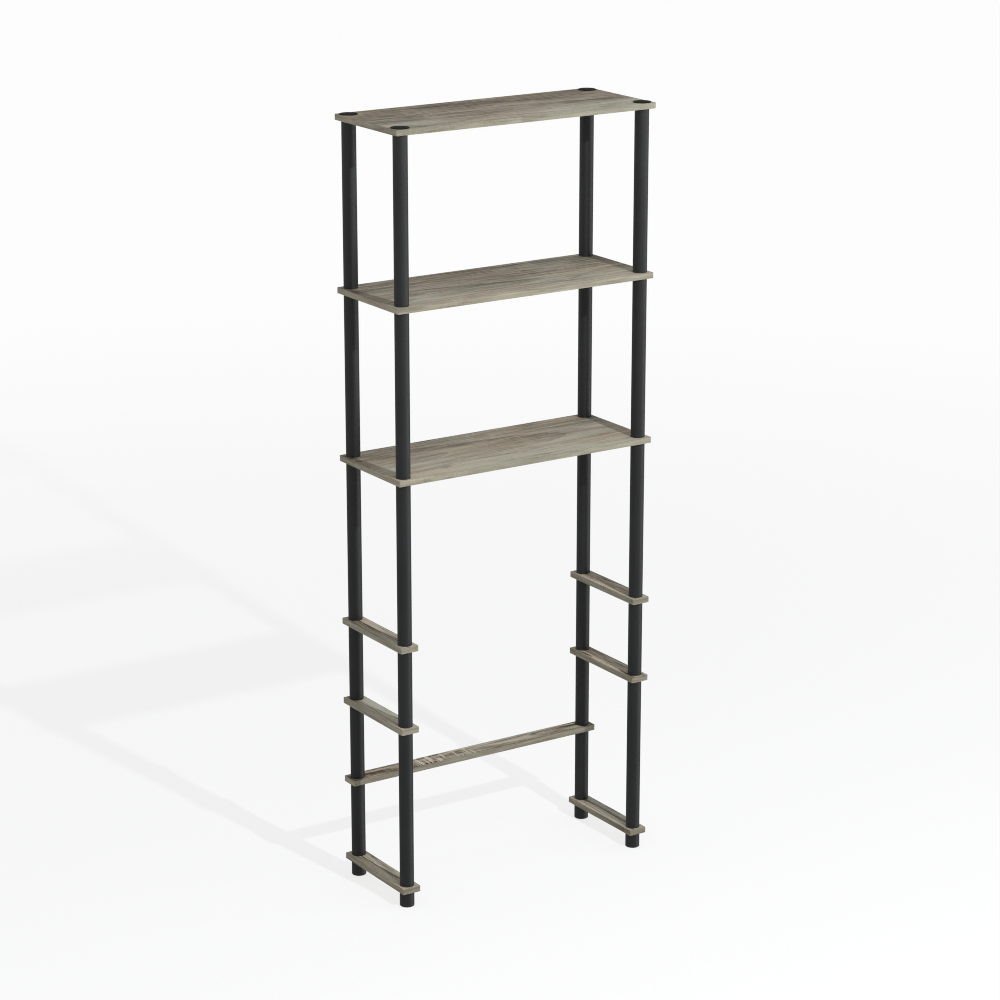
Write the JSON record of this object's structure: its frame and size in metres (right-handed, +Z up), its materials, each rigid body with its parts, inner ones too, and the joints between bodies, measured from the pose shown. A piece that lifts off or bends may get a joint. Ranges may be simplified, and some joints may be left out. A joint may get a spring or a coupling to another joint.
{
  "type": "over the toilet storage rack",
  "caption": "Free-standing storage rack with full shelves above an open bay that fits over a toilet, tied by short side rails and a back rail.",
  "frame": {"origin": "on the floor at the middle of the footprint", "axes": "+Z up, +X to the right seen from the front, +Y towards the wall behind"},
  "size_m": [0.625, 0.24, 1.6504],
  "materials": {
    "board_laminate": "satin grey-brown oak-print melamine on fibreboard",
    "edge_band": "satin oak-print edge strip",
    "tube_plastic": "satin black extruded tube",
    "fitting_plastic": "satin black moulded cap and foot",
    "connector_plastic": "plain black moulded insert, hidden"
  },
  "bodies": {
    "root": {"lower_shelf": "board_laminate", "middle_shelf": "board_laminate", "top_shelf": "board_laminate", "left_bottom_rail": "board_laminate", "left_lower_rail": "board_laminate", "left_upper_rail": "board_laminate", "right_bottom_rail": "board_laminate", "right_lower_rail": "board_laminate", "right_upper_rail": "board_laminate", "back_rail": "board_laminate", "lower_shelf_edge_band": "edge_band", "middle_shelf_edge_band": "edge_band", "top_shelf_edge_band": "edge_band", "left_bottom_rail_edge_band": "edge_band", "left_lower_rail_edge_band": "edge_band", "left_upper_rail_edge_band": "edge_band", "right_bottom_rail_edge_band": "edge_band", "right_lower_rail_edge_band": "edge_band", "right_upper_rail_edge_band": "edge_band", "back_rail_edge_band": "edge_band", "front_left_tube_1": "tube_plastic", "front_left_tube_2": "tube_plastic", "front_left_tube_3": "tube_plastic", "front_left_tube_4": "tube_plastic", "front_left_tube_5": "tube_plastic", "front_left_cap": "fitting_plastic", "front_left_foot": "fitting_plastic", "front_left_studs": "connector_plastic", "front_left_sockets": "connector_plastic", "front_right_tube_1": "tube_plastic", "front_right_tube_2": "tube_plastic", "front_right_tube_3": "tube_plastic", "front_right_tube_4": "tube_plastic", "front_right_tube_5": "tube_plastic", "front_right_cap": "fitting_plastic", "front_right_foot": "fitting_plastic", "front_right_studs": "connector_plastic", "front_right_sockets": "connector_plastic", "back_left_tube_1": "tube_plastic", "back_left_tube_2": "tube_plastic", "back_left_tube_3": "tube_plastic", "back_left_tube_4": "tube_plastic", "back_left_tube_5": "tube_plastic", "back_left_tube_6": "tube_plastic", "back_left_cap": "fitting_plastic", "back_left_foot": "fitting_plastic", "back_left_studs": "connector_plastic", "back_left_sockets": "connector_plastic", "back_right_tube_1": "tube_plastic", "back_right_tube_2": "tube_plastic", "back_right_tube_3": "tube_plastic", "back_right_tube_4": "tube_plastic", "back_right_tube_5": "tube_plastic", "back_right_tube_6": "tube_plastic", "back_right_cap": "fitting_plastic", "back_right_foot": "fitting_plastic", "back_right_studs": "connector_plastic", "back_right_sockets": "connector_plastic"}
  },
  "joints": []
}
